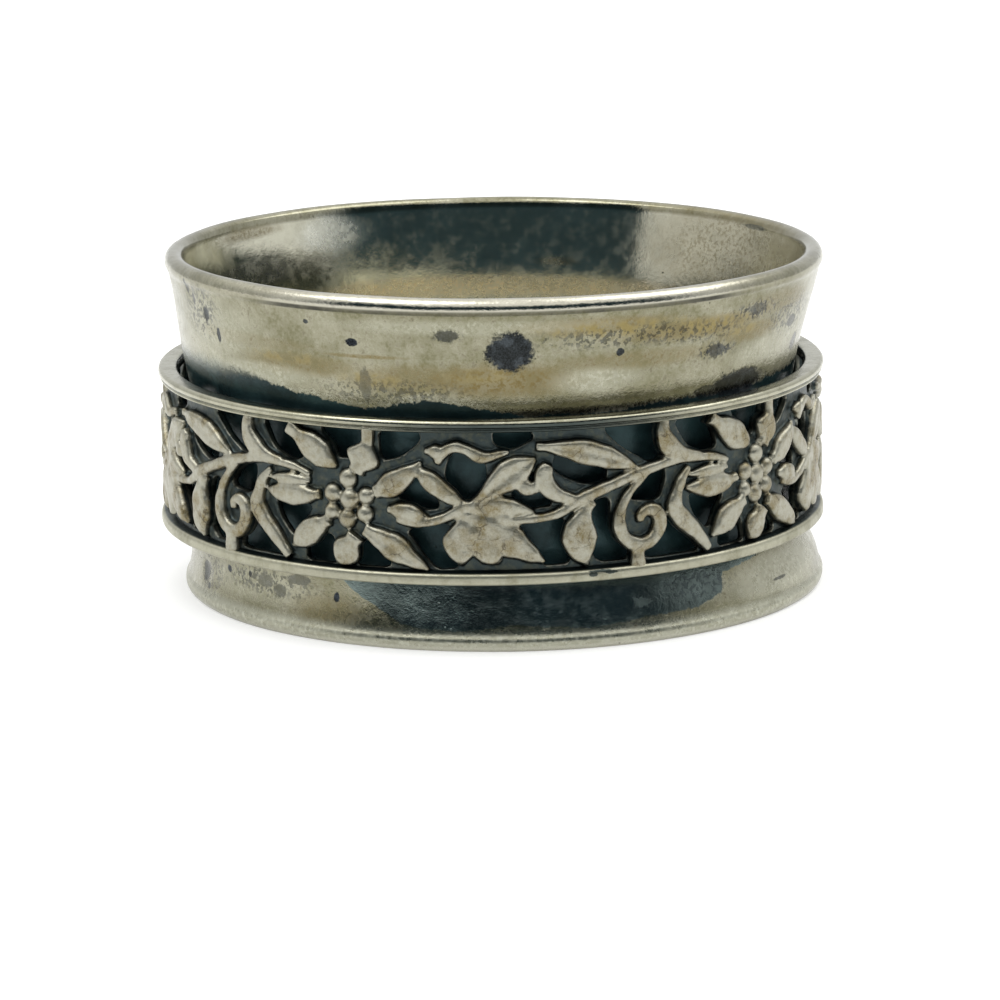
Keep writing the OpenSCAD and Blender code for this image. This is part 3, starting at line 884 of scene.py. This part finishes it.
class SPINNERRING_OT_sleeve(bpy.types.Operator):
    """Makes the thin flared sleeve that goes on the finger"""

    bl_idname = "spinner_ring.sleeve"
    bl_label = "Flared sleeve"

    def flared(self, sizes, z):
        """How far the wall stands out from the waist at a height."""
        over, under = max(0, z - sizes.waist_high), max(0, sizes.waist_low - z)
        return over * math.tan(sizes.top_flare) + under * math.tan(sizes.low_flare)

    def outline(self, sizes):
        """Closed outline of the sheet, from the lower lip up outside and down inside."""
        def wall(z):
            return sizes.waist_r + self.flared(sizes, z)

        def rise(low, high, count):
            return [low + (high - low) * i / (count - 1) for i in range(count)]

        low_z, top_z = sizes.lip_r - 0.06, RING_H - sizes.lip_r
        low_lip = (wall(low_z) - sizes.sheet / 2, low_z)
        top_lip = (wall(top_z) - sizes.sheet / 2, top_z)
        out = [(low_lip[0] - 0.12, 0.0)] + arc(low_lip, sizes.lip_r, -54.3, 40, 12)
        out += [(wall(z), z) for z in rise(0.56, 2.9, 26) + rise(3.05, 6.2, 10) + rise(6.35, 10.3, 50)]
        out += arc(top_lip, sizes.lip_r, -40, 140, 22)
        # The inner wall is hammered a little steeper in its middle
        swell_out = ((6.33, 0.0), (7.3, 0.055), (8.25, 0.01), (8.6, 0.0))
        out += [(wall(z) - sizes.sheet + along(swell_out, z), z)
                for z in rise(10.62, 6.4, 30) + rise(6.2, 3.1, 8) + rise(2.9, 0.5, 12)]
        out += arc(low_lip, sizes.lip_r, 160, 234, 7)
        return out

    def execute(self, context):
        sizes, finish = context.scene.spinner_ring_sizes, context.scene.spinner_ring_finish
        bm = spun(self.outline(sizes), sizes.sleeve_steps)
        inside, brink, toe = [], [], []
        for v in bm.verts:
            x, y, z = v.co
            turn, r = math.atan2(x, -y), math.hypot(x, y)
            degrees = math.degrees(turn)
            flared = self.flared(sizes, z)
            inner = r < sizes.waist_r - sizes.sheet / 2 + flared
            wave = grain(x, y, z, 0.28, 5.0) + 0.5 * grain(x, y, z, 0.8, 1.0)
            dr = sizes.hand_wave * wave * clamp(flared * 2)
            if not inner:
                for at, high, wide, tall, deep in DENTS:
                    away = math.hypot((degrees - at) / wide, (z - high) / tall)
                    if away < 1.5:
                        dr -= deep * (1 - ease(0.2, 1.2, away))
            edge = clamp((z - 9.4) / 1.2)
            dz = -edge * (0.045 * (1 + math.sin(turn)) + 0.02 * (1 + grain(x, y, 0, 0.35, 9.0)))
            lean = LOW_LEAN * (1 - ease(0.8, 2.5, z)) + TOP_LEAN * ease(7.4, 10, z)
            inside.append(1.0 if inner else 0.0)
            brink.append(along(BRINK, degrees))
            toe.append(along(TOE, degrees))
            k = (r + dr) / r
            v.co = (x * k + lean, y * k, max(0.0, min(RING_H, z + dz)))
        piece = to_metres(bm, "sleeve")
        carry(piece.data, "inside", inside)
        carry(piece.data, "brink", brink)
        carry(piece.data, "toe", toe)
        piece.data.materials.append(sleeve_silver(finish))
        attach(piece, "core")
        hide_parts("core_band")
        return {"FINISHED"}


class SPINNERRING_OT_rims(bpy.types.Operator):
    """Makes the two plain rims of the spinner"""

    bl_idname = "spinner_ring.rims"
    bl_label = "Spinner rims"

    def execute(self, context):
        sizes, finish = context.scene.spinner_ring_sizes, context.scene.spinner_ring_finish
        inner, top, low, face = sizes.band_in, RIM_HIGH, RIM_LOW, RIM_R
        upper = [(inner, top - 0.36), (inner, top - 0.2), (inner + 0.01, top - 0.08),
                 (inner + 0.04, top - 0.025), (inner + 0.1, top), (inner + 0.3, top)]
        upper += arc((face - 0.13, top - 0.13), 0.13, 88, -30, 14)
        upper += [(face - 0.05, top - 0.225), (face - 0.085, top - 0.24), (face - 0.1, top - 0.26),
                  (face - 0.075, top - 0.285), (face - 0.05, top - 0.31), (face - 0.06, top - 0.34),
                  (face - 0.11, top - 0.37), (face - 0.2, top - 0.38)]
        lower = [(inner, low + 0.42), (face - 0.28, low + 0.42), (face - 0.2, low + 0.395),
                 (face - 0.12, low + 0.375), (face - 0.06, low + 0.35), (face - 0.025, low + 0.315),
                 (face - 0.008, low + 0.27), (face - 0.001, low + 0.21), (face - 0.001, low + 0.14)]
        lower += arc((face - 0.1, low + 0.1), 0.1, 0, -88, 8)
        lower += [(inner + 0.15, low), (inner + 0.06, low + 0.02), (inner + 0.015, low + 0.07),
                  (inner, low + 0.16)]
        for name, outline in (("spinner_top_rim", upper), ("spinner_low_rim", lower)):
            bm = spun(outline, sizes.rim_steps)
            black = []
            for v in bm.verts:
                x, y, z = v.co
                r = math.hypot(x, y)
                groove = 1 - ease(face - 0.12, face - 0.07, r + 0.02 * grain(x, y, z, 1.5, 1.0))
                flat_top = ease(top - 0.05, top - 0.02, z)
                # Painted shade: the front of the upper rim's second bead is darkened in the oxide tone,
                # stored with the oxide of the groove
                front = math.exp(-((math.atan2(x, -y) - 0.09) / 0.45) ** 4)
                bead = 0.92 * front * ease(top - 0.08, top - 0.12, z) * (z > (low + top) / 2)
                black.append(max(groove * (1 - flat_top), bead))
                dr = -0.01 * (1 + grain(x, y, z, 0.6, 2.0)) if r > face - 0.2 else 0.0
                dz = 0.01 * grain(x, y, 0, 0.5, 4.0) if low + 0.03 < z < top - 0.03 else 0.0
                k = (r + dr) / r
                v.co = (x * k, y * k, z + dz)
            piece = to_metres(bm, name)
            carry(piece.data, "oxide_and_shade", black)
            piece.data.materials.append(rim_silver(finish))
            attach(piece, "spinner")
            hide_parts("spinner_band")
        return {"FINISHED"}


class SPINNERRING_OT_flower_band(bpy.types.Operator):
    """Makes the pierced band of flowers, leaves and scrolls between the rims"""

    bl_idname = "spinner_ring.flower_band"
    bl_label = "Pierced flower band"

    def sheet(self, sizes, start, end):
        """Slice of the low sheet between two turns."""
        low, high = RIM_LOW + 0.2, RIM_HIGH - 0.2
        bm = bmesh.new()
        corners = ((sizes.band_in, low), (sizes.web_r, low), (sizes.web_r, high), (sizes.band_in, high))
        verts = [bm.verts.new((r * math.sin(start), -r * math.cos(start), z)) for r, z in corners]
        edges = [bm.edges.new((verts[i], verts[i - 1])) for i in range(len(verts))]
        bmesh.ops.spin(bm, geom=verts + edges, cent=(0, 0, 0), axis=(0, 0, 1), angle=end - start, steps=72)
        bmesh.ops.holes_fill(bm, edges=[e for e in bm.edges if e.is_boundary], sides=4)
        bmesh.ops.recalc_face_normals(bm, faces=bm.faces)
        return rough_object(bm, "sheet")

    def cutters(self, sizes, low_x, high_x):
        """Prisms through the sheet at each gap of one slice."""
        bm = bmesh.new()
        inner, outer = sizes.band_in - 0.15, sizes.leaf_r + 0.1
        for shift in shifts(low_x, high_x):
            for gap in GAPS:
                if max(p[0] for p in gap) + shift < low_x or min(p[0] for p in gap) + shift > high_x:
                    continue
                corners = softened(list(gap), sizes.gap_growth)
                ring = [bm.verts.new(on_band(x + shift, y, inner)) for x, y in corners]
                pushed = bmesh.ops.extrude_face_region(bm, geom=[bm.faces.new(ring)])["geom"]
                for v in pushed:
                    if isinstance(v, bmesh.types.BMVert):
                        v.co = (v.co.x * outer / inner, v.co.y * outer / inner, v.co.z)
        bmesh.ops.recalc_face_normals(bm, faces=bm.faces)
        return rough_object(bm, "gap_cutters")

    def relief(self, sizes, low_x, high_x):
        """Leaves, petals, stems and beads of one slice as soft bodies in one mesh."""
        bm = bmesh.new()

        def reaches(*places):
            """Whether something that covers these grid places comes near the slice."""
            return max(places) + shift > low_x - 5 and min(places) + shift < high_x + 5

        for shift in shifts(low_x, high_x):
            for row in LEAVES:
                if reaches(row[0], row[2]):
                    swell(bm, leaf_line(row), shift, sizes, crease=row[8])
            for points in STEMS:
                if reaches(*(p[0] for p in points)):
                    swell(bm, stem_line(points), shift, sizes, rings=8 + 4 * len(points), sides=16)
            for x, y, bead in BEADS:
                if reaches(x):
                    self.bead(bm, sizes, x + shift, y, bead * BEAD_SHARE)
        return rough_object(bm, "relief")

    def bead(self, bm, sizes, x, y, radius):
        """One bead of the flower's middle, a little flattened by wear."""
        foot = sizes.web_r - 0.06
        for v in bmesh.ops.create_uvsphere(bm, u_segments=20, v_segments=14, radius=1.0)["verts"]:
            rise = math.copysign(abs(v.co.y) ** 0.62, v.co.y)
            r = foot + (sizes.leaf_r - foot) * rise if rise > 0 else foot + 0.15 * rise
            v.co = on_band(x + v.co.x * radius, y + v.co.z * radius, r)

    def cast(self, sizes, k):
        """One fifth of the band as a bmesh in millimetres, between two flat seams."""
        low_x, high_x = SEAM_X + (k - 1) * GRID_W, SEAM_X + k * GRID_W
        start, end = turn_of(low_x), turn_of(high_x)
        margin = 3
        sheet = self.sheet(sizes, turn_of(low_x - margin), turn_of(high_x + margin))
        cutters = self.cutters(sizes, low_x - margin, high_x + margin)
        cut = sheet.modifiers.new("gaps", "BOOLEAN")
        cut.operation, cut.object, cut.solver = "DIFFERENCE", cutters, "MANIFOLD"
        relief = self.relief(sizes, low_x, high_x)
        joined = bmesh.new()
        pierced = with_modifiers(sheet)
        joined.from_mesh(pierced)
        joined.from_mesh(relief.data)
        band = rough_object(joined, "band")
        melt = band.modifiers.new("melt", "REMESH")
        melt.mode, melt.voxel_size, melt.adaptivity = "VOXEL", sizes.cell, 0.0
        soft = band.modifiers.new("soft", "SMOOTH")
        soft.factor, soft.iterations = 0.5, 2
        wear = band.modifiers.new("wear", "DISPLACE")
        wear.texture, wear.strength, wear.texture_coords = self.wear_texture(), 0.03, "LOCAL"
        mesh = with_modifiers(band)
        part = bmesh.new()
        part.from_mesh(mesh)
        drop(sheet, cutters, relief, band)
        bpy.data.meshes.remove(mesh)
        bpy.data.meshes.remove(pierced)
        for turn, keep in ((start, 1), (end, -1)):
            normal = Vector((math.cos(turn), math.sin(turn), 0)) * keep
            cut_edges = bmesh.ops.bisect_plane(
                part, geom=part.verts[:] + part.edges[:] + part.faces[:], plane_co=(0, 0, 0), plane_no=normal,
                clear_inner=True)["geom_cut"]
            seam = [e for e in cut_edges if isinstance(e, bmesh.types.BMEdge)]
            seam = [e for e in seam if e.is_valid and e.is_boundary]
            bmesh.ops.holes_fill(part, edges=seam, sides=0)
            for e in seam:
                e.smooth = False
        if not part.faces:
            raise RuntimeError("a part of the flower band came out empty")
        return part

    def wear_texture(self):
        """Soft noise that dents the cast surface a little."""
        found = bpy.data.textures.get("wear")
        if not found:
            found = bpy.data.textures.new("wear", "CLOUDS")
            found.noise_scale, found.noise_depth = 0.45, 2
        return found

    def execute(self, context):
        sizes, finish = context.scene.spinner_ring_sizes, context.scene.spinner_ring_finish
        material = cast_silver(finish, sizes)
        for k in range(REPEATS):
            piece = to_metres(self.cast(sizes, k), f"flower_band_{k + 1}")
            piece.data.materials.append(material)
            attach(piece, "spinner")
            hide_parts("spinner_band")
        return {"FINISHED"}


class SPINNERRING_OT_stage(bpy.types.Operator):
    """Makes the pale floor, the studio light and the camera"""

    bl_idname = "spinner_ring.stage"
    bl_label = "Stage"

    def floor(self):
        """Plain pale floor."""
        bm = bmesh.new()
        bmesh.ops.create_circle(bm, cap_ends=True, segments=96, radius=1500)
        floor = to_metres(bm, "floor")
        material, tree, shader = fresh_material("floor_paper")
        cloud, _ = mottle(placed(tree), 0.02, 2.0, 0.2, 0.8)
        connect(shader, [
            ("Base Color", mixed(cloud, (0.60, 0.60, 0.595), (0.62, 0.62, 0.615))), ("Roughness", 0.9),
            ("Specular IOR Level", 0.1), ("Emission Color", (1.0, 1.0, 0.995, 1.0)),
            ("Emission Strength", 0.45)])
        floor.data.materials.append(material)

    def studio(self):
        """White room with a dark side round the camera, which the silver mirrors."""
        world = bpy.data.worlds.new("studio")
        bpy.context.scene.world = world
        world.use_nodes = True
        tree = world.node_tree
        tree.nodes.clear()
        x, y, z = parted(wired(tree, "ShaderNodeTexCoord", output="Generated"))
        turn, high = x.through("ARCTAN2", y * -1.0), z.through("ARCSINE")
        left, right, under, over = ([math.radians(angle) for angle in edge] for edge in CARD)
        card = turn.step(*left) * turn.fall(*right) * (high.step(*under) * high.fall(*over))
        room = mixed(high.step(0.2, 1.0), (0.85, 0.86, 0.86), (1.5, 1.5, 1.47))
        seen = mixed(card, room, (0.03, 0.053, 0.066))
        seen = mixed(wired(tree, "ShaderNodeLightPath", output="Is Camera Ray"), seen, (1.0, 1.0, 1.0))
        back = node(tree, "ShaderNodeBackground", [("Color", seen), ("Strength", 1.0)])
        tree.links.new(back.outputs[0], node(tree, "ShaderNodeOutputWorld").inputs[0])

    def lamp(self, name, place, size, watts, aim=(0, 0, 0.005)):
        """Soft square lamp that faces the ring."""
        data = bpy.data.lights.new(name, "AREA")
        data.shape, data.size, data.energy = "SQUARE", size, watts
        lamp = bpy.data.objects.new(name, data)
        bpy.context.scene.collection.objects.link(lamp)
        lamp.location = place
        lamp.rotation_euler = (Vector(aim) - Vector(place)).to_track_quat("-Z", "Y").to_euler()

    def camera(self):
        """Camera at the photo's angle, 11 degrees above the horizon."""
        far, tilt = CAMERA_FAR * MM, math.radians(CAMERA_TILT)
        data = bpy.data.cameras.new("camera")
        data.sensor_width = 36
        data.lens = CAMERA_LENS * data.sensor_width
        data.shift_x, data.shift_y = CAMERA_SHIFT
        data.clip_start, data.clip_end = 0.01, 10
        camera = bpy.data.objects.new("camera", data)
        bpy.context.scene.collection.objects.link(camera)
        middle = Vector((0, 0, RING_H / 2 * MM))
        eye = middle + Vector((0, -far * math.cos(tilt), far * math.sin(tilt)))
        look = (middle - eye).to_track_quat("-Z", "Y").to_matrix().to_4x4()
        roll = Matrix.Rotation(-math.radians(CAMERA_ROLL), 4, "Z")
        camera.matrix_world = Matrix.Translation(eye) @ look @ roll
        bpy.context.scene.camera = camera

    def execute(self, context):
        self.floor()
        self.studio()
        self.lamp("key", (-0.2, -0.05, 0.5), 0.35, 0.9)
        self.lamp("fill", (0.25, 0.1, 0.45), 0.35, 0.7)
        self.camera()
        context.scene.view_settings.view_transform = "Standard"
        return {"FINISHED"}


class SPINNERRING_PT_panel(bpy.types.Panel):
    """Lists the ring's pieces"""

    bl_idname = "SPINNERRING_PT_panel"
    bl_label = "Spinner ring"
    bl_space_type = "VIEW_3D"
    bl_region_type = "UI"
    bl_category = "Spinner ring"

    def draw(self, context):
        layout = self.layout
        for group in (context.scene.spinner_ring_sizes, context.scene.spinner_ring_finish):
            box = layout.box()
            for key in group.bl_rna.properties.keys():
                if key not in ("rna_type", "name"):
                    box.prop(group, key)
        for operator in OPERATORS:
            layout.operator(operator.bl_idname)


OPERATORS = (SPINNERRING_OT_stage, SPINNERRING_OT_sleeve, SPINNERRING_OT_rims, SPINNERRING_OT_flower_band)
CLASSES = (SpinnerRingSizes, SpinnerRingFinish, *OPERATORS, SPINNERRING_PT_panel)


def register():
    """Adds the classes and the two groups of settings."""
    for cls in CLASSES:
        bpy.utils.register_class(cls)
    bpy.types.Scene.spinner_ring_sizes = PointerProperty(type=SpinnerRingSizes)
    bpy.types.Scene.spinner_ring_finish = PointerProperty(type=SpinnerRingFinish)


def unregister():
    """Takes them away again."""
    del bpy.types.Scene.spinner_ring_finish
    del bpy.types.Scene.spinner_ring_sizes
    for cls in reversed(CLASSES):
        bpy.utils.unregister_class(cls)


def main():
    """Builds the stage and every piece."""
    register()
    bpy.ops.spinner_ring.stage()
    bpy.ops.spinner_ring.sleeve()
    bpy.ops.spinner_ring.rims()
    bpy.ops.spinner_ring.flower_band()


if __name__ == "__main__":
    main()
